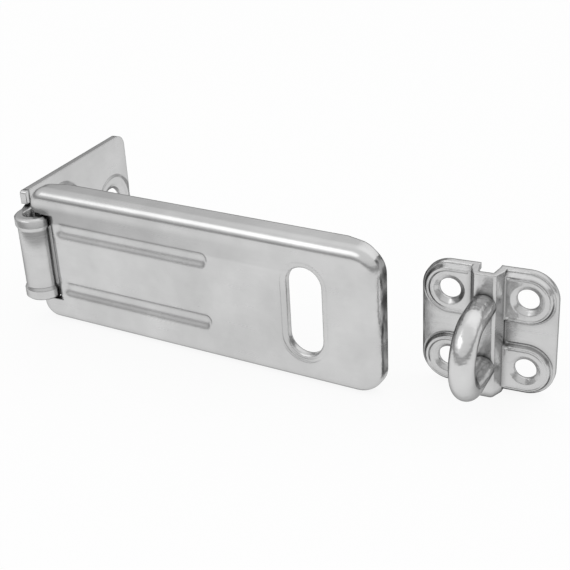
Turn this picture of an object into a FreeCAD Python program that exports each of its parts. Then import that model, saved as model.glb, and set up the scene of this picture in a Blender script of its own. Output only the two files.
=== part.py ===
"""Padlock hasp: a hinged strap with a slot, its screw-on leaf, and the staple it closes over.

Millimetres. The origin is the centre of the leaf's mounting face. +X points out of the door frame
that the leaf is screwed to, +Y runs along the leaf away from the hinge, and +Z is up, along the
hinge axis. The strap is drawn opened a little past a right angle, and the staple stands apart.
"""
import FreeCAD, Part
import math
import os
import Sketcher

doc = FreeCAD.newDocument("padlock_hasp")

SIZES = [
    ("sheet", 1.6),                 # strap and leaf: zinc-plated steel sheet
    ("strap_length", 85.0),         # hinge axis to the nose
    ("strap_width", 31.6),
    ("flange_depth", 5.9),          # front face to the rear edge of the long flanges
    ("nose_depth", 4.0),            # the same at the nose
    ("heel_depth", 4.1),            # the same at the hinge end
    ("nose_sweep", 9.0),            # length over which the flange sweeps down at the nose
    ("heel_sweep", 6.0),            # and at the hinge end
    ("bend_radius", 2.6),           # outside of the strap's bends
    ("nose_corner", 5.5),
    ("heel_corner", 4.0),
    ("bar_width", 2.2),             # the strap's end bar, which the barrel is rolled around
    ("window_end", 4.9),            # hinge axis to the far edge of the window
    ("window_gap", 0.35),           # barrel end to the window's edge
    ("window_lip", 1.1),            # width eased off the face at the window's far edge
    ("heel_wrap", 5.9),             # strap left beside the barrel, above and below
    ("groove_offset", 7.15),        # centre line to a groove's centre
    ("groove_width", 3.8),          # at the face
    ("groove_floor", 1.5),
    ("groove_depth", 1.0),
    ("groove_start", 5.95),         # measured from the hinge axis
    ("groove_inset", 38.6),         # nose to the grooves' far ends
    ("slot_inset", 16.6),           # nose to the slot's centre
    ("slot_width", 8.0),
    ("slot_length", 19.4),
    ("slot_rim", 1.3),              # width of the pressed-in rim
    ("rim_depth", 0.35),
    ("leaf_near", 2.8),             # hinge axis to the leaf's near edge
    ("leaf_length", 41.0),
    ("leaf_gap", 0.9),              # leaf's long edges to the inside of the strap's flanges
    ("leaf_corner", 2.9),
    ("axis_rise", 5.2),             # mounting face to hinge axis
    ("barrel_radius", 3.9),
    ("collar_height", 3.0),         # swelled ends of the barrel
    ("collar_rise", 0.4),
    ("curl_end", 115.0),            # degrees round the axis from +X where the curl stops
    ("tongue_flat", 1.0),
    ("tongue_slope", 3.6),          # length of the step from barrel to leaf
    ("relief_width", 0.4),          # cut beside the tongue
    ("screw_hole", 7.6),
    ("sink", 10.0),                 # top diameter of the countersink for the screw's head
    ("sink_depth", 0.7),
    ("dish", 14.8),                 # diameter of the shallow dish round the countersink
    ("dish_depth", 0.4),
    ("near_hole", 15.9),            # hinge axis to the near hole
    ("far_inset", 7.0),             # leaf's far edge to the far hole
    ("stagger", 3.0),               # centre line to either hole
    ("opened", 95.0),               # degrees the strap stands open from closed
    ("plate_sheet", 1.4),
    ("plate_width", 26.8),
    ("plate_height", 26.5),
    ("plate_corner", 5.7),
    ("hole_spread_x", 15.4),
    ("hole_spread_z", 15.1),
    ("plate_hole", 4.4),
    ("plate_dimple", 6.4),
    ("plate_dimple_depth", 0.7),
    ("lobe_radius", 5.2),
    ("lobe_rise", 0.9),
    ("spine_base", 6.6),
    ("spine_top", 4.2),
    ("spine_rise", 2.8),            # above the lobes
    ("spine_wall", 1.3),
    ("rod", 5.0),
    ("leg_spread", 13.4),           # centre to centre
    ("eye_reach", 18.5),            # mounting face to the centre of the eye's front bar
    ("neck", 2.8),
    ("neck_gap", 0.04),             # radial, neck in its hole
    ("foot_length", 5.6),
    ("foot_thick", 1.8),
    ("staple_x", 107.8),
    ("staple_y", -17.9),
]

FOLLOWING = [
    ("barrel_length", "=strap_width - 2 * heel_wrap"),
    ("leaf_height", "=strap_width - 2 * (sheet + leaf_gap)"),
    ("groove_end", "=strap_length - groove_inset"),
    ("slot_centre", "=strap_length - slot_inset"),
    ("far_hole", "=leaf_near + leaf_length - far_inset"),
]

sizes = doc.addObject("Spreadsheet::Sheet", "Sizes")
for row, (name, content) in enumerate(SIZES + FOLLOWING, start=1):
    sizes.set("A%d" % row, name)
    sizes.set("B%d" % row, str(content))
    sizes.setAlias("B%d" % row, name)
doc.recompute()
ALIASES = {name for name, _ in SIZES + FOLLOWING}


def bound(text):
    """Turn a formula in plain size names into an expression on the sheet."""
    words, word = [], ""
    for mark in text + " ":
        if mark.isalnum() or mark == "_":
            word += mark
            continue
        if word:
            words.append("Sizes." + word if word in ALIASES else word)
            word = ""
        words.append(mark)
    return "".join(words).strip()


def value(text):
    """The number that a formula in size names comes to."""
    result = sizes.evalExpression(bound(text))
    return float(getattr(result, "Value", result))


def new_body(label):
    body = doc.addObject("PartDesign::Body", label)
    body.Label = label
    return body


def plane(body, role):
    return [item for item in body.Origin.OriginFeatures if item.Role == role][0]


def sketch(body, name, role, offset="0"):
    """A sketch on one of the body's own origin planes, moved along its normal by a formula."""
    drawn = body.newObject("Sketcher::SketchObject", name)
    drawn.AttachmentSupport = [(plane(body, role), "")]
    drawn.MapMode = "FlatFace"
    drawn.setExpression("AttachmentOffset.Base.z", "1mm * (%s)" % bound(offset))
    doc.recompute()
    return drawn


def fix(drawn, kind, targets, formula, sign=1.0):
    number = drawn.addConstraint(Sketcher.Constraint(kind, *targets, sign * value(formula)))
    drawn.renameConstraint(number, "size%d" % number)
    text = bound(formula) if sign > 0 else "-(%s)" % bound(formula)
    drawn.setExpression("Constraints.size%d" % number, text)


def outline(drawn, corners):
    """A closed polygon whose corners are formulas, each held to the sketch's origin."""
    points = [FreeCAD.Vector(value(across), value(up), 0) for across, up in corners]
    count = len(points)
    for index in range(count):
        drawn.addGeometry(Part.LineSegment(points[index], points[(index + 1) % count]), False)
    for index in range(count):
        following = (index + 1) % count
        drawn.addConstraint(Sketcher.Constraint("Coincident", index, 2, following, 1))
    for index, (across, up) in enumerate(corners):
        fix(drawn, "DistanceX", (-1, 1, index, 1), across)
        fix(drawn, "DistanceY", (-1, 1, index, 1), up)


def box_outline(drawn, left, right, low, high):
    outline(drawn, [(left, low), (right, low), (right, high), (left, high)])


def circle(drawn, across, up, radius):
    centre = FreeCAD.Vector(value(across), value(up), 0)
    number = drawn.addGeometry(Part.Circle(centre, FreeCAD.Vector(0, 0, 1), value(radius)), False)
    fix(drawn, "DistanceX", (-1, 1, number, 3), across)
    fix(drawn, "DistanceY", (-1, 1, number, 3), up)
    fix(drawn, "Radius", (number,), radius)


def extrude(body, name, kind, drawn, length, reverse=False, middle=False, through=False, lean=None):
    """A Pad or Pocket of one sketch; its sides may lean in by the formula lean over its length."""
    feature = body.newObject("PartDesign::" + kind, name)
    feature.Profile = drawn
    if through:
        feature.Type = 1
    else:
        feature.setExpression("Length", "1mm * (%s)" % bound(length))
    if lean:
        feature.setExpression("TaperAngle", "-atan((%s) / (%s))" % (bound(lean), bound(length)))
    feature.Reversed = reverse
    feature.Midplane = middle
    doc.recompute()
    return feature


def edges_where(feature, test):
    return ["Edge%d" % (index + 1) for index, edge in enumerate(feature.Shape.Edges) if test(edge)]


def faces_where(feature, test):
    return ["Face%d" % (index + 1) for index, face in enumerate(feature.Shape.Faces) if test(face)]


def fillet(body, name, base, test, radius):
    feature = body.newObject("PartDesign::Fillet", name)
    feature.Base = (base, edges_where(base, test))
    feature.setExpression("Radius", "1mm * (%s)" % bound(radius))
    doc.recompute()
    return feature


def chamfer(body, name, base, test, size):
    feature = body.newObject("PartDesign::Chamfer", name)
    feature.Base = (base, edges_where(base, test))
    feature.setExpression("Size", "1mm * (%s)" % bound(size))
    doc.recompute()
    return feature


def near(one, other):
    return abs(one - other) < 1e-4


def along(edge, axis):
    """True when a straight edge runs along an axis."""
    if not isinstance(edge.Curve, Part.Line):
        return False
    return abs(abs(edge.Curve.Direction.dot(axis)) - 1.0) < 1e-6


AXIS_X = FreeCAD.Vector(1, 0, 0)
AXIS_Y = FreeCAD.Vector(0, 1, 0)
AXIS_Z = FreeCAD.Vector(0, 0, 1)


def stadium(drawn, ends, radius):
    """A slot outline between two arc centres, which share a row or a column."""
    (left, low), (right, high) = ends
    first = FreeCAD.Vector(value(left), value(low), 0)
    second = FreeCAD.Vector(value(right), value(high), 0)
    size = value(radius)
    turn = math.atan2(second.y - first.y, second.x - first.x)
    side = FreeCAD.Vector(-math.sin(turn), math.cos(turn), 0) * size
    normal = FreeCAD.Vector(0, 0, 1)
    half = math.pi / 2
    start = Part.ArcOfCircle(Part.Circle(first, normal, size), turn + half, turn + 3 * half)
    stop = Part.ArcOfCircle(Part.Circle(second, normal, size), turn - half, turn + half)
    number = drawn.addGeometry(start, False)
    drawn.addGeometry(Part.LineSegment(first - side, second - side), False)
    drawn.addGeometry(stop, False)
    drawn.addGeometry(Part.LineSegment(second + side, first + side), False)
    for one, end, other, begin in ((0, 2, 1, 1), (1, 2, 2, 1), (2, 2, 3, 1), (3, 2, 0, 1)):
        drawn.addConstraint(
            Sketcher.Constraint("Tangent", number + one, end, number + other, begin))
    drawn.addConstraint(Sketcher.Constraint("Equal", number, number + 2))
    fix(drawn, "Radius", (number,), radius)
    for arc, across, up in ((number, left, low), (number + 2, right, high)):
        fix(drawn, "DistanceX", (-1, 1, arc, 3), across)
        fix(drawn, "DistanceY", (-1, 1, arc, 3), up)


def cone(body, name, role, across, up, level, bottom, top, depth):
    """A conical recess that widens along the plane's normal from one level."""
    feature = body.newObject("PartDesign::SubtractiveCone", name)
    for side, formula in (("Radius1", bottom), ("Radius2", top), ("Height", depth)):
        feature.setExpression(side, "1mm * (%s)" % bound(formula))
    feature.AttachmentSupport = [(plane(body, role), "")]
    feature.MapMode = "FlatFace"
    for side, formula in (("x", across), ("y", up), ("z", level)):
        feature.setExpression("AttachmentOffset.Base." + side, "1mm * (%s)" % bound(formula))
    doc.recompute()
    return feature


def flat_at(edge, level):
    """True when the whole of an edge lies at one Y."""
    return near(edge.BoundBox.YMin, level) and near(edge.BoundBox.YMax, level)


def hasp_strap():
    """One pressed sheet: a face with flanges bent back round it, two grooves and a slot."""
    body = new_body("hasp_strap")
    front = -value("sheet") / 2
    rear = value("flange_depth") + front
    nose = value("strap_length")
    heel = -value("bar_width") / 2

    drawn = sketch(body, "strap_outline", "XZ_Plane", "sheet / 2")
    box_outline(drawn, "-bar_width / 2", "strap_length", "-strap_width / 2", "strap_width / 2")
    block = extrude(body, "strap_block", "Pad", drawn, "flange_depth", reverse=True)
    corner = fillet(body, "nose_corners", block,
                    lambda edge: along(edge, AXIS_Y) and near(edge.BoundBox.XMin, nose), "nose_corner")
    corner = fillet(body, "heel_corners", corner,
                    lambda edge: along(edge, AXIS_Y) and near(edge.BoundBox.XMin, heel), "heel_corner")
    bends = fillet(body, "bends", corner, lambda edge: flat_at(edge, front), "bend_radius")

    shell = body.newObject("PartDesign::Thickness", "sheet_wall")
    shell.Base = (bends, faces_where(bends, lambda face: near(face.BoundBox.YMin, rear)))
    shell.setExpression("Value", "1mm * Sizes.sheet")
    shell.Reversed = True
    shell.Mode = 0
    shell.Join = 0
    doc.recompute()

    drawn = sketch(body, "sweep_outline", "XY_Plane")
    outline(drawn, [("-2 * bar_width", "heel_depth - sheet / 2"),
                    ("bar_width / 2", "heel_depth - sheet / 2"),
                    ("bar_width / 2 + heel_sweep", "flange_depth - sheet / 2"),
                    ("strap_length - nose_sweep", "flange_depth - sheet / 2"),
                    ("strap_length - nose_sweep / 4", "nose_depth - sheet / 2"),
                    ("strap_length + sheet", "nose_depth - sheet / 2"),
                    ("strap_length + sheet", "2 * flange_depth"),
                    ("-2 * bar_width", "2 * flange_depth")])
    extrude(body, "rear_sweep", "Pocket", drawn, "0", middle=True, through=True)

    drawn = sketch(body, "heel_opening_outline", "XZ_Plane", "-sheet / 2")
    box_outline(drawn, "-2 * bar_width", "bar_width / 2",
                "-barrel_length / 2 - 2 * window_gap", "barrel_length / 2 + 2 * window_gap")
    extrude(body, "heel_opening", "Pocket", drawn, "0", through=True)

    drawn = sketch(body, "window_outline", "XZ_Plane", "sheet / 2")
    box_outline(drawn, "bar_width / 2", "window_end",
                "-barrel_length / 2 - window_gap", "barrel_length / 2 + window_gap")
    extrude(body, "window", "Pocket", drawn, "0", through=True)

    drawn = sketch(body, "window_lip_outline", "XY_Plane")
    outline(drawn, [("window_end - window_lip", "-sheet"), ("window_end + window_lip", "-sheet"),
                    ("window_end + window_lip", "-sheet / 2"), ("window_end", "-sheet / 4"),
                    ("window_end - window_lip", "-sheet / 4")])
    extrude(body, "window_lip", "Pocket", drawn, "barrel_length + 2 * window_gap", middle=True)

    for side, sign in (("upper", ""), ("lower", "-")):
        centre = sign + "groove_offset"
        ends = [("groove_start + groove_width / 2", centre), ("groove_end - groove_width / 2", centre)]
        drawn = sketch(body, side + "_bead_outline", "XZ_Plane", "-sheet / 2")
        stadium(drawn, ends, "groove_width / 2 + sheet / 8")
        extrude(body, side + "_bead", "Pad", drawn, "groove_depth", reverse=True,
                lean="(groove_width - groove_floor) / 2 - sheet / 8")
        drawn = sketch(body, side + "_groove_outline", "XZ_Plane", "sheet / 2")
        stadium(drawn, ends, "groove_width / 2")
        extrude(body, side + "_groove", "Pocket", drawn, "groove_depth",
                lean="(groove_width - groove_floor) / 2")

    ends = [("slot_centre", "-(slot_length - slot_width) / 2"),
            ("slot_centre", "(slot_length - slot_width) / 2")]
    drawn = sketch(body, "slot_lip_outline", "XZ_Plane", "-sheet / 2")
    stadium(drawn, ends, "slot_width / 2 + slot_rim")
    extrude(body, "slot_lip", "Pad", drawn, "rim_depth", reverse=True)
    drawn = sketch(body, "slot_rim_outline", "XZ_Plane", "sheet / 2")
    stadium(drawn, ends, "slot_width / 2 + slot_rim")
    extrude(body, "slot_rim", "Pocket", drawn, "rim_depth", lean="rim_depth")
    drawn = sketch(body, "slot_outline", "XZ_Plane", "sheet / 2")
    stadium(drawn, ends, "slot_width / 2")
    slot = extrude(body, "slot", "Pocket", drawn, "0", through=True)
    mouth = front + value("rim_depth")
    chamfer(body, "slot_mouth", slot, lambda edge: flat_at(edge, mouth) and abs(
        edge.CenterOfMass.x - value("slot_centre")) < value("slot_width / 2 + 0.01"), "rim_depth")
    body.setExpression("Placement.Base.x", "1mm * Sizes.axis_rise")
    body.setExpression("Placement.Base.y", "-1mm * (Sizes.leaf_near + Sizes.leaf_length / 2)")
    body.Placement.Rotation = FreeCAD.Rotation(AXIS_Z, 90 - value("opened"))
    return body


def hinge_leaf():
    """A flat plate whose tongue is stepped up and rolled round the strap's end bar."""
    body = new_body("hinge_leaf")
    axis_y = "-(leaf_near + leaf_length / 2)"
    drawn = sketch(body, "leaf_outline", "YZ_Plane")
    box_outline(drawn, "-leaf_length / 2", "leaf_length / 2", "-leaf_height / 2", "leaf_height / 2")
    plate = extrude(body, "leaf_plate", "Pad", drawn, "sheet")
    far = value("leaf_length / 2")
    plate = fillet(body, "far_corners", plate,
                   lambda edge: along(edge, AXIS_X) and near(edge.BoundBox.YMin, far), "leaf_corner")
    plate = fillet(body, "near_corners", plate,
                   lambda edge: along(edge, AXIS_X) and near(edge.BoundBox.YMin, -far), "leaf_corner / 4")

    half = "(barrel_length / 2 + relief_width)"
    root = axis_y + " + tongue_flat + tongue_slope"
    drawn = sketch(body, "relief_outline", "YZ_Plane")
    box_outline(drawn, "-leaf_length / 2 - sheet", root, "-" + half, half)
    extrude(body, "relief", "Pocket", drawn, "0", middle=True, through=True)

    low = "axis_rise - barrel_radius"
    drawn = sketch(body, "tongue_outline", "XY_Plane")
    outline(drawn, [(low, axis_y), (low, axis_y + " + tongue_flat"), ("0", root),
                    ("0", root + " + sheet"), ("sheet", root + " + sheet"),
                    ("sheet", root + " + sheet / 4"),
                    (low + " + sheet", axis_y + " + tongue_flat + sheet / 4"),
                    (low + " + sheet", axis_y)])
    extrude(body, "tongue", "Pad", drawn, "barrel_length", middle=True)

    drawn = sketch(body, "barrel_outline", "XZ_Plane", "leaf_near + leaf_length / 2")
    wall = "axis_rise + barrel_radius"
    end = "barrel_length / 2"
    outline(drawn, [("axis_rise + barrel_radius / 2", "-" + end), (wall, "-" + end),
                    (wall + " + collar_rise", "-%s + collar_rise" % end),
                    (wall + " + collar_rise", "-%s + collar_height - 2 * collar_rise" % end),
                    (wall, "-%s + collar_height" % end), (wall, end + " - collar_height"),
                    (wall + " + collar_rise", end + " - collar_height + 2 * collar_rise"),
                    (wall + " + collar_rise", end + " - collar_rise"),
                    (wall, end), ("axis_rise + barrel_radius / 2", end)])
    centre = drawn.addGeometry(Part.LineSegment(
        FreeCAD.Vector(value("axis_rise"), 0, 0), FreeCAD.Vector(value("axis_rise"), 1, 0)), True)
    drawn.addConstraint(Sketcher.Constraint("Vertical", centre))
    fix(drawn, "DistanceX", (-1, 1, centre, 1), "axis_rise")
    barrel = body.newObject("PartDesign::Revolution", "barrel")
    barrel.Profile = drawn
    barrel.ReferenceAxis = (drawn, ["Axis0"])
    barrel.Angle = 360
    doc.recompute()
    drawn = sketch(body, "barrel_bore_outline", "XY_Plane")
    circle(drawn, "axis_rise", axis_y, "barrel_radius - sheet")
    extrude(body, "barrel_bore", "Pocket", drawn, "0", middle=True, through=True)

    reach = "(barrel_radius - sheet)"
    drawn = sketch(body, "curl_gap_outline", "XY_Plane")
    outline(drawn, [("axis_rise", axis_y),
                    ("axis_rise - " + reach, axis_y + " - %s * tan(curl_end * 1deg)" % reach),
                    ("axis_rise - " + reach, axis_y)])
    extrude(body, "curl_gap", "Pocket", drawn, "0", middle=True, through=True)

    for name, distance, height in (("near", "near_hole", "stagger"), ("far", "far_hole", "-stagger")):
        across = axis_y + " + " + distance
        drawn = sketch(body, name + "_hole_outline", "YZ_Plane")
        circle(drawn, across, height, "screw_hole / 2")
        extrude(body, name + "_hole", "Pocket", drawn, "0", middle=True, through=True)
        cone(body, name + "_sink", "YZ_Plane", across, height, "sheet - dish_depth - sink_depth",
             "screw_hole / 2 - 0.1", "sink / 2", "sink_depth")
        cone(body, name + "_dish", "YZ_Plane", across, height, "sheet - dish_depth",
             "sink / 2", "dish / 2", "dish_depth")
    return body


def staple_plate():
    """One pressed sheet: four dimpled lobes and a hollow spine stand out of a flat plate."""
    body = new_body("staple_plate")
    drawn = sketch(body, "plate_outline", "XZ_Plane")
    box_outline(drawn, "-plate_width / 2", "plate_width / 2", "-plate_height / 2", "plate_height / 2")
    plate = extrude(body, "plate", "Pad", drawn, "plate_sheet")
    plate = fillet(body, "plate_corners", plate, lambda edge: along(edge, AXIS_Y), "plate_corner")
    face = -value("plate_sheet")
    chamfer(body, "plate_edges", plate, lambda edge: flat_at(edge, face), "plate_sheet / 4")

    for row, height in (("upper", "hole_spread_z / 2"), ("lower", "-hole_spread_z / 2")):
        ends = [("-hole_spread_x / 2", height), ("hole_spread_x / 2", height)]
        drawn = sketch(body, row + "_lobes_outline", "XZ_Plane", "plate_sheet")
        stadium(drawn, ends, "lobe_radius")
        extrude(body, row + "_lobes", "Pad", drawn, "lobe_rise", lean="lobe_rise * 0.6")

    lobe_front = "-(plate_sheet + lobe_rise)"
    spine_front = lobe_front + " - spine_rise"
    drawn = sketch(body, "spine_outline", "XY_Plane")
    outline(drawn, [("-spine_base / 2", "-plate_sheet / 2"), ("-spine_base / 2", lobe_front),
                    ("-spine_top / 2", spine_front), ("spine_top / 2", spine_front),
                    ("spine_base / 2", lobe_front), ("spine_base / 2", "-plate_sheet / 2")])
    spine = extrude(body, "spine", "Pad", drawn, "plate_height", middle=True)
    top = value(spine_front)
    fillet(body, "spine_edges", spine, lambda edge: along(edge, AXIS_Z) and flat_at(edge, top),
           "plate_sheet / 2")

    for row, height in (("upper", "hole_spread_z / 2"), ("lower", "-hole_spread_z / 2")):
        ends = [("-hole_spread_x / 2", height), ("hole_spread_x / 2", height)]
        drawn = sketch(body, row + "_recess_outline", "XZ_Plane")
        stadium(drawn, ends, "lobe_radius - plate_sheet / 2")
        extrude(body, row + "_recess", "Pocket", drawn, "lobe_rise", reverse=True)
    wall = "spine_wall"
    drawn = sketch(body, "spine_hollow_outline", "XY_Plane")
    inner = "(spine_base / 2 - %s)" % wall
    crown = "(spine_top / 2 - %s / 2)" % wall
    outline(drawn, [("-" + inner, "plate_sheet"), ("-" + inner, lobe_front + " + " + wall),
                    ("-" + crown, spine_front + " + " + wall), (crown, spine_front + " + " + wall),
                    (inner, lobe_front + " + " + wall), (inner, "plate_sheet")])
    extrude(body, "spine_hollow", "Pocket", drawn, "0", middle=True, through=True)

    for column, across in (("left", "-hole_spread_x / 2"), ("right", "hole_spread_x / 2")):
        for row, height in (("upper", "hole_spread_z / 2"), ("lower", "-hole_spread_z / 2")):
            name = row + "_" + column
            drawn = sketch(body, name + "_hole_outline", "XZ_Plane")
            circle(drawn, across, height, "plate_hole / 2")
            extrude(body, name + "_hole", "Pocket", drawn, "0", middle=True, through=True)
            cone(body, name + "_dimple", "XZ_Plane", across, height,
                 "plate_sheet + lobe_rise - plate_dimple_depth",
                 "plate_hole / 2 - 0.1", "plate_dimple / 2", "plate_dimple_depth")

    drawn = sketch(body, "neck_holes_outline", "XZ_Plane")
    for height in ("leg_spread / 2", "-leg_spread / 2"):
        circle(drawn, "0", height, "neck / 2 + neck_gap")
    extrude(body, "neck_holes", "Pocket", drawn, "0", middle=True, through=True)
    place_staple(body)
    return body


def place_staple(body):
    """The staple stands on the same surface as the strap."""
    body.setExpression("Placement.Base.x", "1mm * Sizes.staple_x")
    body.setExpression("Placement.Base.y", "1mm * Sizes.staple_y")
    body.setExpression("Placement.Base.z", "1mm * (Sizes.plate_height - Sizes.strap_width) / 2")


def staple_eye():
    """A bent rod whose necks pass through the spine and are flattened behind it."""
    body = new_body("staple_eye")
    shoulder = "-(plate_sheet + lobe_rise + spine_rise)"
    bend = "-(eye_reach - leg_spread / 2)"
    drawn = sketch(body, "eye_path", "YZ_Plane")
    start, stop = value(shoulder), value(bend)
    half = value("leg_spread") / 2
    upper = Part.LineSegment(FreeCAD.Vector(start, half, 0), FreeCAD.Vector(stop, half, 0))
    turn = Part.ArcOfCircle(
        Part.Circle(FreeCAD.Vector(stop, 0, 0), FreeCAD.Vector(0, 0, 1), half),
        math.pi / 2, 3 * math.pi / 2)
    lower = Part.LineSegment(FreeCAD.Vector(stop, -half, 0), FreeCAD.Vector(start, -half, 0))
    for item in (upper, turn, lower):
        drawn.addGeometry(item, False)
    drawn.addConstraint(Sketcher.Constraint("Tangent", 0, 2, 1, 1))
    drawn.addConstraint(Sketcher.Constraint("Tangent", 1, 2, 2, 1))
    drawn.addConstraint(Sketcher.Constraint("Horizontal", 0))
    drawn.addConstraint(Sketcher.Constraint("Vertical", 0, 1, 2, 2))
    fix(drawn, "DistanceX", (-1, 1, 0, 1), shoulder)
    fix(drawn, "DistanceX", (-1, 1, 1, 3), bend)
    fix(drawn, "DistanceY", (-1, 1, 1, 3), "0")
    fix(drawn, "Radius", (1,), "leg_spread / 2")

    section = sketch(body, "eye_section", "XZ_Plane", "plate_sheet + lobe_rise + spine_rise")
    circle(section, "0", "leg_spread / 2", "rod / 2")
    pipe = body.newObject("PartDesign::AdditivePipe", "eye_rod")
    pipe.Profile = section
    pipe.Spine = drawn
    doc.recompute()

    length = "spine_wall + 0.02"
    drawn = sketch(body, "necks_outline", "XZ_Plane", "plate_sheet + lobe_rise + spine_rise")
    for height in ("leg_spread / 2", "-leg_spread / 2"):
        circle(drawn, "0", height, "neck / 2")
    extrude(body, "necks", "Pad", drawn, length, reverse=True)
    drawn = sketch(body, "feet_outline", "XZ_Plane",
                   "plate_sheet + lobe_rise + spine_rise - (%s)" % length)
    for height in ("leg_spread / 2", "-leg_spread / 2"):
        reach = "foot_length / 2 - neck / 2"
        stadium(drawn, [("0", "%s - (%s)" % (height, reach)), ("0", "%s + %s" % (height, reach))],
                "neck / 2")
    extrude(body, "feet", "Pad", drawn, "foot_thick", reverse=True)
    place_staple(body)
    return body


bodies = [hasp_strap(), hinge_leaf(), staple_plate(), staple_eye()]
doc.recompute()

for item in doc.Objects:
    if "Invalid" in item.State or "Error" in item.State:
        raise RuntimeError("%s failed: %s" % (item.Label, item.State))
for body in bodies:
    if body.Shape.isNull() or not body.Shape.isValid():
        raise RuntimeError("%s has no valid shape" % body.Label)
    box = body.Shape.BoundBox
    print(body.Label, len(body.Shape.Solids), "solid", round(body.Shape.Volume, 1),
          [round(side, 2) for side in (box.XMin, box.XMax, box.YMin, box.YMax, box.ZMin, box.ZMax)])

os.makedirs("parts", exist_ok=True)
for body in bodies:
    body.Shape.exportStep("parts/%s.step" % body.Label)
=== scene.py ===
"""Looks of a bright zinc-plated padlock hasp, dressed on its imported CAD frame.

Metres, in the frame of the CAD part: the origin is the centre of the leaf's mounting face, +X points
out of the door frame, +Y runs along the leaf away from the hinge and +Z is up.
"""
import math
from collections import namedtuple

import bpy
from bpy.props import FloatProperty, FloatVectorProperty, PointerProperty
from mathutils import Matrix, Vector


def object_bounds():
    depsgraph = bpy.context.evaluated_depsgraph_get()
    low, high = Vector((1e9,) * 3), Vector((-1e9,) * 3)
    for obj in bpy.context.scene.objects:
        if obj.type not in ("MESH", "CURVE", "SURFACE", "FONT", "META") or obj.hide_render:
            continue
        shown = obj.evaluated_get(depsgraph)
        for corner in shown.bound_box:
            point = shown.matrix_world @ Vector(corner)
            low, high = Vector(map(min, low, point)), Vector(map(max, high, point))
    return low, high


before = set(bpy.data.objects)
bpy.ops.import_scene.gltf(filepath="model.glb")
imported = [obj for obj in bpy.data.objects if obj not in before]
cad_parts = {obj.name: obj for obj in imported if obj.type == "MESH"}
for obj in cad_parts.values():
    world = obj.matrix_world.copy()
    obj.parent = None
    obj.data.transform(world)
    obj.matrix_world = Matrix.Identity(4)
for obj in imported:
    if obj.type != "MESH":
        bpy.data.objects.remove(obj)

bl_info = {
    "name": "Zinc-Plated Padlock Hasp",
    "version": (1, 0, 0),
    "blender": (4, 5, 0),
    "location": "3D View > Sidebar > Hasp",
    "description": "Finishes, studio and camera for a padlock hasp and its staple",
    "category": "Object",
}

CAD_BOX = [list(corner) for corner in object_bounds()]

# The strap.
GROOVE_HEIGHT = 0.00715  # its middle to the centre line of either groove
GROOVE_END = 0.0535  # X where both grooves stop, short of the slot
SLOT_MIDDLE = 0.0733  # X of the slot's middle
SLOT_STRAIGHT = 0.0057  # half the length of the slot's straight sides
NOSE_START = 0.0868  # X where its face turns into the nose flange
STRAP_FRONT = (-math.sin(math.radians(5)), -math.cos(math.radians(5)), 0.0)

# The leaf.
HOLES_MIDDLE = 0.00305  # Y midway between its two holes
HOLES_APART = 0.0209
HOLES_STAGGER = 0.003
BARREL_EDGE = -0.0190  # Y where it turns into its rolled barrel

# The staple.
STAPLE_MIDDLE = (0.1078, -0.00255)  # X and Z of the plate's middle
STAPLE_HOLES = (0.0077, 0.00755)  # from there to each hole
SPINE_EDGE = 0.0036  # from there to the foot of the spine

# Radius of the rounded edges, depth of the ripple, openness at which a crease begins to darken with dirt and
# painted shade, and the share of the shine that is left where the metal is seen edge-on.
Finish = namedtuple("Finish", "edge ripple crease rim")
STRAP_FINISH = Finish(edge=0.0005, ripple=0.00001, crease=0.85, rim=0.68)
LEAF_FINISH = Finish(edge=0.0004, ripple=0.00001, crease=0.95, rim=0.40)
STAPLE_FINISH = Finish(edge=0.0005, ripple=0.00003, crease=0.97, rim=0.40)
ROD_FINISH = Finish(edge=0.0003, ripple=0.00017, crease=0.85, rim=0.40)
GROOVE_EDGE = 0.0014  # radius of the rounded edges along a groove
NOSE_RIPPLE = 0.00014  # depth of the beaten nose flange
LOBE_RIPPLE = 0.00011  # depth of the beaten lobes
BARREL_CROWN = -2.8  # millimetres that the barrel's pressed height falls towards its top

# Pressed heights in millimetres by distance: outside the slot (0 is 4 mm and 1 is 6 mm from its middle
# line), round a leaf hole (0 is 4 mm and 1 is 8 mm from its centre), and on a staple lobe (0 is 2 mm
# and 1 is 7 mm from its hole's centre).
SLOT_RIM = [(0.0, 0.35), (0.40, 0.35), (0.64, 0.12), (0.86, 0.20)]
LEAF_RING = [(0.0, 0.95), (0.30, 0.90), (0.60, 0.72), (0.93, 0.0)]
LOBE_LINES = [(0.0, 0.50), (0.36, 0.50), (0.44, 0.38), (0.53, 0.56), (0.62, 0.36), (0.71, 0.50)]

FLOOR_SIZE = 30.0  # wide enough that its edge stays out of low views

# Greys of the room by height (0 straight down, 0.5 level, 1 straight up) and, behind, from left to right.
WALLS = [(0.0, 0.30), (0.50, 0.30), (0.55, 0.24), (0.62, 0.25), (0.69, 0.54), (0.80, 0.58), (1.0, 0.60)]
BACK_WALL = [(0.0, 0.62), (0.20, 0.68), (0.27, 0.82), (0.34, 0.88), (0.42, 1.0), (1.0, 1.0)]
# Greys of the glowing card that paints a dark reflection into the nose flange.
DARK_REFLECTION_GREYS = [(0.36, 0.05), (0.50, 0.22), (0.62, 0.55)]


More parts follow.
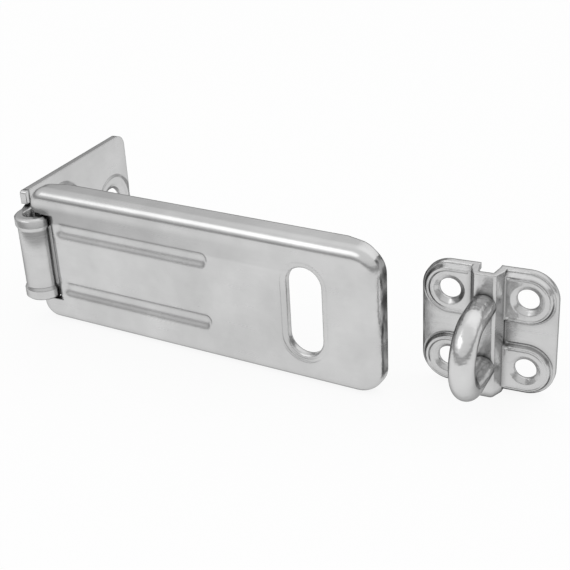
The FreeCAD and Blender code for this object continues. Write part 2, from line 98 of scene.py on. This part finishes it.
class FinishSettings(bpy.types.PropertyGroup):
    """Colours and roughness of the plating."""

    sheet_colour: FloatVectorProperty(
        name="Sheet colour", description="Zinc plating on the strap, leaf and staple plate",
        subtype="COLOR", size=3, min=0.0, max=1.0, default=(0.61, 0.61, 0.61))
    rod_colour: FloatVectorProperty(
        name="Rod colour", description="Zinc plating on the staple's eye",
        subtype="COLOR", size=3, min=0.0, max=1.0, default=(0.65, 0.65, 0.65))
    sheet_roughness: FloatProperty(
        name="Sheet roughness", description="How far the pressed sheet blurs what it reflects",
        subtype="FACTOR", min=0.0, max=1.0, default=0.23)
    rod_roughness: FloatProperty(
        name="Rod roughness", description="How far the drawn rod blurs what it reflects",
        subtype="FACTOR", min=0.0, max=1.0, default=0.21)
    grain: FloatProperty(
        name="Grain size", description="Size of the plating's fine grain",
        subtype="DISTANCE", unit="LENGTH", min=0.0001, max=0.01, default=0.0008)


class StudioSettings(bpy.types.PropertyGroup):
    """The floor, lights and camera."""

    azimuth: FloatProperty(
        name="Azimuth", description="Camera's angle round the object",
        subtype="ANGLE", default=math.radians(26.42))
    elevation: FloatProperty(
        name="Elevation", description="Camera's angle above the horizon",
        subtype="ANGLE", default=math.radians(26.378))
    roll: FloatProperty(
        name="Roll", description="Camera's turn about its own line of sight",
        subtype="ANGLE", default=math.radians(3.299))
    place: FloatVectorProperty(
        name="Camera place", description="Where the camera stands",
        subtype="XYZ_LENGTH", unit="LENGTH", size=3, default=(0.1629, -0.2177, 0.1096))
    lens: FloatProperty(
        name="Lens", description="Focal length in millimetres on a 36 mm sensor",
        unit="CAMERA", min=10.0, max=300.0, default=75.02)
    floor_colour: FloatVectorProperty(
        name="Floor colour", description="The plain pale floor",
        subtype="COLOR", size=3, min=0.0, max=1.0, default=(0.93, 0.93, 0.93))
    room: FloatProperty(
        name="Room light", description="Brightness of the room's grey walls",
        min=0.0, max=10.0, default=2.0)
    softbox: FloatProperty(
        name="Softbox", description="Brightness of the soft lamp in front, above and to the left",
        min=0.0, max=10.0, default=0.92)


def feed(tree, socket, value):
    """Set a socket to a number, or link another node's output to it."""
    if isinstance(value, bpy.types.NodeSocket):
        tree.links.new(value, socket)
    else:
        socket.default_value = value


def node(tree, kind, label, **inputs):
    """A labelled node. Each input is a number or another node's output."""
    made = tree.nodes.new(kind)
    made.label = label
    made.name = label
    for name, value in inputs.items():
        feed(tree, made.inputs[name.replace("_", " ")], value)
    return made


def maths(tree, operation, label, *values):
    """The result of a Math node."""
    made = node(tree, "ShaderNodeMath", label)
    made.operation = operation
    for socket, value in zip(made.inputs, values):
        feed(tree, socket, value)
    return made.outputs["Value"]


def remap(tree, label, value, start, end, low=0.0, high=1.0, smooth=False):
    """A value that runs from low to high while another runs from start to end."""
    made = node(tree, "ShaderNodeMapRange", label,
                Value=value, From_Min=start, From_Max=end, To_Min=low, To_Max=high)
    if smooth:
        made.interpolation_type = "SMOOTHSTEP"
    return made.outputs["Result"]


def blend(tree, kind, label, factor, first, second):
    """A mix of two numbers, vectors or colours."""
    made = node(tree, "ShaderNodeMix", label)
    made.data_type = kind
    for name, value in (("Factor", factor), ("A", first), ("B", second)):
        feed(tree, made.inputs[name], value)
    return made.outputs["Result"]


def ramp(tree, label, value, stops):
    """A colour ramp of greys, given as (position, grey) pairs."""
    made = node(tree, "ShaderNodeValToRGB", label, Fac=value)
    made.color_ramp.interpolation = "EASE"
    elements = made.color_ramp.elements
    while len(elements) < len(stops):
        elements.new(0.5)
    for element, (position, grey) in zip(elements, stops):
        element.position = position
        element.color = (grey, grey, grey, 1.0)
    return made.outputs["Color"]


def noise(tree, label, vector, scale, detail, roughness):
    """Noise from 0 to 1."""
    return node(tree, "ShaderNodeTexNoise", label, Vector=vector, Scale=scale,
                Detail=detail, Roughness=roughness).outputs["Fac"]


def bump(tree, label, height, normal, distance, strength=1.0):
    """A normal that is bent by heights."""
    return node(tree, "ShaderNodeBump", label, Strength=strength, Distance=distance,
                Height=height, Normal=normal).outputs["Normal"]


def places(tree, kind="Object"):
    """Coordinates as a vector and as its three parts."""
    vector = node(tree, "ShaderNodeTexCoord", "place").outputs[kind]
    return vector, node(tree, "ShaderNodeSeparateXYZ", "parts", Vector=vector).outputs


def distance(tree, label, across, along):
    """The length of a flat vector."""
    flat = node(tree, "ShaderNodeCombineXYZ", label + " flat", X=across, Y=along)
    made = node(tree, "ShaderNodeVectorMath", label)
    made.operation = "LENGTH"
    feed(tree, made.inputs[0], flat.outputs["Vector"])
    return made.outputs["Value"]


def plating_group():
    """Node group shared by all plated pieces: tone, grain, streaks, ripple, dirt and painted shade in
    creases, and rounded edges.
    """
    group = bpy.data.node_groups.get("zinc_plating")
    if group:
        return group
    group = bpy.data.node_groups.new("zinc_plating", "ShaderNodeTree")
    sockets = {
        "INPUT": [("Colour", "Color"), ("Roughness", "Float"), ("Grain", "Float"), ("Edge", "Float"),
                  ("Ripple", "Float"), ("Flatten", "Float"), ("Front", "Vector"), ("Emboss", "Float"),
                  ("Crease", "Float")],
        "OUTPUT": [("Colour", "Color"), ("Roughness", "Float"), ("Normal", "Vector")],
    }
    for side, names in sockets.items():
        for name, kind in names:
            group.interface.new_socket(name, in_out=side, socket_type="NodeSocket" + kind)
    given = group.nodes.new("NodeGroupInput").outputs
    leave = group.nodes.new("NodeGroupOutput").inputs
    place, _ = places(group)

    cloud = noise(group, "cloud", place, 90.0, 4.0, 0.55)
    stretch = node(group, "ShaderNodeMapping", "streak stretch", Vector=place, Scale=(60.0, 60.0, 1400.0))
    streak = noise(group, "streak", stretch.outputs["Vector"], 1.0, 3.0, 0.6)
    count = maths(group, "DIVIDE", "grains per metre", 1.0, given["Grain"])
    grain = noise(group, "grain", place, count, 2.0, 0.5)
    wave = noise(group, "ripple", place, 420.0, 2.0, 0.5)

    tone = remap(group, "tone", cloud, 0.3, 0.7, 0.90, 1.06)
    # Ambient occlusion over all objects, the floor too, darkens the colour in creases and where parts touch:
    # dirt in the recesses and painted shade.
    crease = node(group, "ShaderNodeAmbientOcclusion", "creases", Distance=0.0014)
    crease.samples = 8
    dirt_and_painted_shade = remap(group, "dirt and painted shade in creases", crease.outputs["AO"], 0.30, given["Crease"], 0.06, 1.0)
    tint = node(group, "ShaderNodeVectorMath", "tint")
    tint.operation = "SCALE"
    feed(group, tint.inputs[0], given["Colour"])
    feed(group, tint.inputs["Scale"], maths(group, "MULTIPLY", "tone, dirt and painted shade", tone, dirt_and_painted_shade))
    feed(group, leave["Colour"], tint.outputs["Vector"])

    polish = remap(group, "polish", streak, 0.3, 0.7, -0.04, 0.05)
    feed(group, leave["Roughness"], maths(group, "ADD", "roughness", given["Roughness"], polish))

    front = node(group, "ShaderNodeVectorTransform", "front of the sheet", Vector=given["Front"])
    front.vector_type = "NORMAL"
    front.convert_from = "OBJECT"
    front.convert_to = "WORLD"
    rolled = node(group, "ShaderNodeBevel", "rolled edges", Radius=given["Edge"])
    rolled.samples = 8
    calm = blend(group, "VECTOR", "flattened", given["Flatten"],
                 rolled.outputs["Normal"], front.outputs["Vector"])
    pressed = bump(group, "embossed", given["Emboss"], calm, 0.001)
    rippled = bump(group, "ripple bump", wave, pressed, given["Ripple"])
    fine = maths(group, "MULTIPLY_ADD", "grain and streak", streak, 0.5, grain)
    feed(group, leave["Normal"], bump(group, "grain bump", fine, rippled, 0.00006, 0.14))
    return group


def plated(name, colour, roughness, grain, finish):
    """A zinc-plated steel material and its plating node."""
    material = bpy.data.materials.new(name)
    material.use_nodes = True
    tree = material.node_tree
    shader = tree.nodes["Principled BSDF"]
    shader.inputs["Metallic"].default_value = 1.0
    shader.inputs["Specular Tint"].default_value = (finish.rim, finish.rim, finish.rim, 1.0)
    plating = tree.nodes.new("ShaderNodeGroup")
    plating.node_tree = plating_group()
    values = {"Colour": (*colour, 1.0), "Roughness": roughness, "Grain": grain, "Edge": finish.edge,
              "Ripple": finish.ripple, "Crease": finish.crease}
    for socket, value in values.items():
        feed(tree, plating.inputs[socket], value)
    for source, target in (("Colour", "Base Color"), ("Roughness", "Roughness"), ("Normal", "Normal")):
        feed(tree, shader.inputs[target], plating.outputs[source])
    return material, plating


def strap_pressing(tree, plating, colour):
    """Soften the grooves, line the slot's rim, beat the nose and paint a dark reflection on the band below
    the bend.
    """
    _, part = places(tree)
    height = maths(tree, "ABSOLUTE", "distance from the middle", part["Z"])

    above = maths(tree, "ABSOLUTE", "above or below a groove",
                  maths(tree, "SUBTRACT", "distance from a groove", height, GROOVE_HEIGHT))
    beyond = remap(tree, "beyond the groove's end", part["X"], GROOVE_END, GROOVE_END + 0.002, 0.0, 0.003)
    apart = maths(tree, "ADD", "apart", above, beyond)
    feed(tree, plating.inputs["Edge"],
         remap(tree, "edge radius", apart, 0.0020, 0.0026, GROOVE_EDGE, STRAP_FINISH.edge))
    feed(tree, plating.inputs["Flatten"],
         remap(tree, "groove's roundness", apart, 0.0019, 0.0024, 0.27, 0.0))
    plating.inputs["Front"].default_value = STRAP_FRONT

    aside = maths(tree, "SUBTRACT", "aside of the slot", part["X"], SLOT_MIDDLE)
    past = maths(tree, "MAXIMUM", "round the slot's ends",
                 maths(tree, "SUBTRACT", "past the slot's straight sides", height, SLOT_STRAIGHT), 0.0)
    span = remap(tree, "across the rim", distance(tree, "distance from the slot", aside, past), 0.004, 0.006)
    feed(tree, plating.inputs["Emboss"], ramp(tree, "rim", span, SLOT_RIM))

    beaten = remap(tree, "ripple of the nose flange", part["X"],
                   NOSE_START, NOSE_START + 0.002, STRAP_FINISH.ripple, NOSE_RIPPLE)
    feed(tree, plating.inputs["Ripple"], beaten)

    # Painted dark reflection: the colour of the band between the upper groove and the top bend is darkened
    # towards the hinge, standing for the dark room that this band reflects.
    rise = remap(tree, "above the groove", part["Z"], 0.0080, 0.0088, smooth=True)
    fall = remap(tree, "below the bend", part["Z"], 0.0130, 0.0112, smooth=True)
    reach = remap(tree, "towards the hinge", part["X"], 0.075, 0.010, 0.0, 0.32)
    painted_dark_reflection = maths(tree, "MULTIPLY", "painted_dark_reflection", maths(tree, "MULTIPLY", "band", rise, fall), reach)
    black = (0.0, 0.0, 0.0, 1.0)
    feed(tree, plating.inputs["Colour"], blend(tree, "RGBA", "darkened by painted reflection", painted_dark_reflection, (*colour, 1.0), black))


def leaf_pressing(tree, plating):
    """A pressed ring round each of the leaf's staggered screw holes, and the crown of its rolled barrel."""
    _, part = places(tree)
    along = maths(tree, "SUBTRACT", "from the middle", part["Y"], HOLES_MIDDLE)
    side = maths(tree, "SIGN", "which half", along)
    far = maths(tree, "MULTIPLY_ADD", "distance along", along, side, -HOLES_APART / 2)
    high = maths(tree, "MULTIPLY_ADD", "distance up", part["Z"], side, HOLES_STAGGER)
    span = remap(tree, "across the ring", distance(tree, "distance from the hole", far, high), 0.004, 0.008)
    front = remap(tree, "on the front face", part["X"], 0.0004, 0.0008)
    ring = maths(tree, "MULTIPLY", "ring's height", ramp(tree, "ring", span, LEAF_RING), front)

    climb = remap(tree, "up the barrel", part["Z"], -0.002, 0.0102)
    taper = maths(tree, "POWER", "crown", climb, 2.0)
    barrel = remap(tree, "on the barrel", part["Y"], BARREL_EDGE, BARREL_EDGE - 0.0006, 0.0, BARREL_CROWN)
    feed(tree, plating.inputs["Emboss"], maths(tree, "MULTIPLY_ADD", "ring and crown", taper, barrel, ring))


def staple_pressing(tree, plating):
    """Drawn contour lines and a beaten surface round each of the staple plate's four holes."""
    _, part = places(tree)
    (across, up), (half_width, half_height) = STAPLE_MIDDLE, STAPLE_HOLES
    beside = maths(tree, "ABSOLUTE", "either side",
                   maths(tree, "SUBTRACT", "beside the middle", part["X"], across))
    above = maths(tree, "ABSOLUTE", "above and below",
                  maths(tree, "SUBTRACT", "above the middle", part["Z"], up))
    outer = maths(tree, "MAXIMUM", "straight towards the spine",
                  maths(tree, "SUBTRACT", "outside the hole", beside, half_width), 0.0)
    higher = maths(tree, "SUBTRACT", "higher than the hole", above, half_height)
    radius = distance(tree, "distance from the hole", outer, higher)
    lines = ramp(tree, "lines", remap(tree, "across the lobe", radius, 0.002, 0.007), LOBE_LINES)
    clear = remap(tree, "clear of the spine", beside, SPINE_EDGE, SPINE_EDGE + 0.0006)
    feed(tree, plating.inputs["Emboss"], blend(tree, "FLOAT", "pressed lines", clear, 0.5, lines))
    feed(tree, plating.inputs["Ripple"],
         remap(tree, "ripple of the lobes", radius, 0.0050, 0.0062, LOBE_RIPPLE, STAPLE_FINISH.ripple))


def dress(name, material):
    """Put one material on a CAD node."""
    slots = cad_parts[name].data.materials
    slots.clear()
    slots.append(material)


class HASP_OT_strap(bpy.types.Operator):
    """Finish the pressed strap"""

    bl_idname = "hasp.strap"
    bl_label = "Finish Strap"

    def execute(self, context):
        finish = context.scene.hasp_finish
        material, plating = plated(
            "strap_plating", finish.sheet_colour, finish.sheet_roughness, finish.grain, STRAP_FINISH)
        strap_pressing(material.node_tree, plating, finish.sheet_colour)
        dress("hasp_strap", material)
        return {"FINISHED"}


class HASP_OT_leaf(bpy.types.Operator):
    """Finish the leaf and its rolled barrel"""

    bl_idname = "hasp.leaf"
    bl_label = "Finish Leaf"

    def execute(self, context):
        finish = context.scene.hasp_finish
        material, plating = plated(
            "leaf_plating", finish.sheet_colour, finish.sheet_roughness, finish.grain, LEAF_FINISH)
        leaf_pressing(material.node_tree, plating)
        dress("hinge_leaf", material)
        return {"FINISHED"}


class HASP_OT_staple(bpy.types.Operator):
    """Finish the staple's plate and rod eye"""

    bl_idname = "hasp.staple"
    bl_label = "Finish Staple"

    def execute(self, context):
        finish = context.scene.hasp_finish
        material, plating = plated(
            "staple_plating", finish.sheet_colour, finish.sheet_roughness, finish.grain, STAPLE_FINISH)
        staple_pressing(material.node_tree, plating)
        dress("staple_plate", material)
        material, _ = plated("rod_plating", finish.rod_colour, finish.rod_roughness, finish.grain, ROD_FINISH)
        dress("staple_eye", material)
        return {"FINISHED"}


def studio_world(strength):
    """Grey walls with a dark gap below the overhead light, and a darker corner behind on the left."""
    world = bpy.data.worlds.new("studio")
    world.use_nodes = True
    tree = world.node_tree
    _, part = places(tree, "Generated")
    walls = ramp(tree, "walls", remap(tree, "height", part["Z"], -1.0, 1.0), WALLS)
    back = ramp(tree, "back wall", remap(tree, "across", part["X"], -1.0, 1.0), BACK_WALL)
    behind = remap(tree, "behind", part["Y"], 0.0, 0.3)
    side = blend(tree, "RGBA", "front or back", behind, (0.75, 0.75, 0.75, 1.0), back)
    both = node(tree, "ShaderNodeVectorMath", "walls by side")
    both.operation = "MULTIPLY"
    feed(tree, both.inputs[0], walls)
    feed(tree, both.inputs[1], side)
    light = tree.nodes["Background"]
    feed(tree, light.inputs["Color"], both.outputs["Vector"])
    light.inputs["Strength"].default_value = strength
    return world


def floor_paper(colour):
    """White paper that the camera and the metal see as nearly as bright as the room, under a soft shadow."""
    paper = bpy.data.materials.new("floor_paper")
    paper.use_nodes = True
    tree = paper.node_tree
    shader = tree.nodes["Principled BSDF"]
    shader.inputs["Base Color"].default_value = (*colour, 1.0)
    shader.inputs["Roughness"].default_value = 0.85
    shader.inputs["Specular IOR Level"].default_value = 0.1
    glow = node(tree, "ShaderNodeEmission", "white sheet", Strength=1.0)
    path = node(tree, "ShaderNodeLightPath", "path").outputs
    seen = maths(tree, "MAXIMUM", "seen directly or in the metal",
                 path["Is Camera Ray"], path["Is Glossy Ray"])
    mix = node(tree, "ShaderNodeMixShader", "paper", Fac=maths(tree, "MULTIPLY", "share of glow", seen, 0.9))
    feed(tree, mix.inputs[1], shader.outputs["BSDF"])
    feed(tree, mix.inputs[2], glow.outputs["Emission"])
    feed(tree, tree.nodes["Material Output"].inputs["Surface"], mix.outputs["Shader"])
    return paper


def softbox(name, toward, reach, width, height, brightness):
    """A soft area light that faces the hasp's middle from one direction."""
    middle = (Vector(CAD_BOX[0]) + Vector(CAD_BOX[1])) / 2
    data = bpy.data.lights.new(name, "AREA")
    data.shape = "RECTANGLE"
    data.size, data.size_y = width, height
    data.energy = brightness * math.pi * width * height
    lamp = bpy.data.objects.new(name, data)
    bpy.context.scene.collection.objects.link(lamp)
    way = Vector(toward).normalized()
    lamp.location = middle + reach * way
    lamp.rotation_euler = (-way).to_track_quat("-Z", "Y").to_euler()


def dark_reflection_card(name, centre, size, turn):
    """A patchy grey card that glows only in the metal's reflections: a painted dark reflection for the nose
    flange, standing for the shade behind the staple.
    """
    bpy.ops.mesh.primitive_plane_add(size=1.0, location=centre, rotation=turn)
    card = bpy.context.object
    card.name = name
    card.scale = (*size, 1.0)
    card.visible_camera = False
    card.visible_diffuse = False
    card.visible_shadow = False
    card_glow = bpy.data.materials.new(name + "_glow")
    card_glow.use_nodes = True
    tree = card_glow.node_tree
    shader = tree.nodes["Principled BSDF"]
    shader.inputs["Base Color"].default_value = (0.0, 0.0, 0.0, 1.0)
    shader.inputs["Specular IOR Level"].default_value = 0.0
    place, _ = places(tree)
    patches = noise(tree, "patches", place, 7.0, 2.0, 0.5)
    feed(tree, shader.inputs["Emission Color"], ramp(tree, "greys", patches, DARK_REFLECTION_GREYS))
    shader.inputs["Emission Strength"].default_value = 1.0
    card.data.materials.append(card_glow)
    return card


def photo_camera(studio):
    """The camera at the studio's place and angles."""
    data = bpy.data.cameras.new("camera")
    data.lens = studio.lens
    data.sensor_width = 36.0
    data.clip_start, data.clip_end = 0.005, 20.0
    turn, rise, roll = studio.azimuth, studio.elevation, studio.roll
    ahead = Vector((-math.sin(turn) * math.cos(rise), math.cos(turn) * math.cos(rise), -math.sin(rise)))
    right = Vector((math.cos(turn), math.sin(turn), 0.0))
    down = ahead.cross(right)
    across = math.cos(roll) * right + math.sin(roll) * down
    lower = -math.sin(roll) * right + math.cos(roll) * down
    turned = Matrix((across, -lower, -ahead)).transposed().to_4x4()
    camera = bpy.data.objects.new("camera", data)
    camera.matrix_world = Matrix.Translation(Vector(studio.place)) @ turned
    return camera


class HASP_OT_studio(bpy.types.Operator):
    """Build the floor, lights and camera"""

    bl_idname = "hasp.studio"
    bl_label = "Build Studio"

    def execute(self, context):
        scene = context.scene
        studio = scene.hasp_studio
        bpy.ops.mesh.primitive_plane_add(size=FLOOR_SIZE, location=(0.0, 0.0, CAD_BOX[0][2]))
        floor = context.object
        floor.name = "floor"
        floor.data.materials.append(floor_paper(studio.floor_colour))
        # A glowing card by the nose that paints a dark reflection into the nose flange, standing for the
        # shade behind the staple.
        dark_reflection_card(
            "dark_reflection_card_at_nose", (0.0924, -0.0165, 0.0005), (0.0325, 0.026), (0.0, math.pi / 2, 0.0))

        softbox("front_softbox", (-0.50, -0.60, 0.80), 0.7, 0.55, 0.32, studio.softbox)
        scene.world = studio_world(studio.room)
        scene.camera = photo_camera(studio)
        scene.collection.objects.link(scene.camera)
        scene.view_settings.view_transform = "Standard"
        return {"FINISHED"}


class HASP_PT_panel(bpy.types.Panel):
    """Lists the hasp's settings and steps"""

    bl_idname = "HASP_PT_panel"
    bl_label = "Padlock Hasp"
    bl_space_type = "VIEW_3D"
    bl_region_type = "UI"
    bl_category = "Hasp"

    def draw(self, context):
        for settings in (context.scene.hasp_finish, context.scene.hasp_studio):
            column = self.layout.column()
            for name in settings.__annotations__:
                column.prop(settings, name)
        for operator in OPERATORS:
            self.layout.operator(operator.bl_idname)


OPERATORS = (HASP_OT_strap, HASP_OT_leaf, HASP_OT_staple, HASP_OT_studio)
CLASSES = (FinishSettings, StudioSettings, *OPERATORS, HASP_PT_panel)


def register():
    for item in CLASSES:
        bpy.utils.register_class(item)
    bpy.types.Scene.hasp_finish = PointerProperty(type=FinishSettings)
    bpy.types.Scene.hasp_studio = PointerProperty(type=StudioSettings)


def unregister():
    del bpy.types.Scene.hasp_studio
    del bpy.types.Scene.hasp_finish
    for item in reversed(CLASSES):
        bpy.utils.unregister_class(item)


def main():
    register()
    bpy.ops.hasp.strap()
    bpy.ops.hasp.leaf()
    bpy.ops.hasp.staple()
    bpy.ops.hasp.studio()


if __name__ == "__main__":
    main()
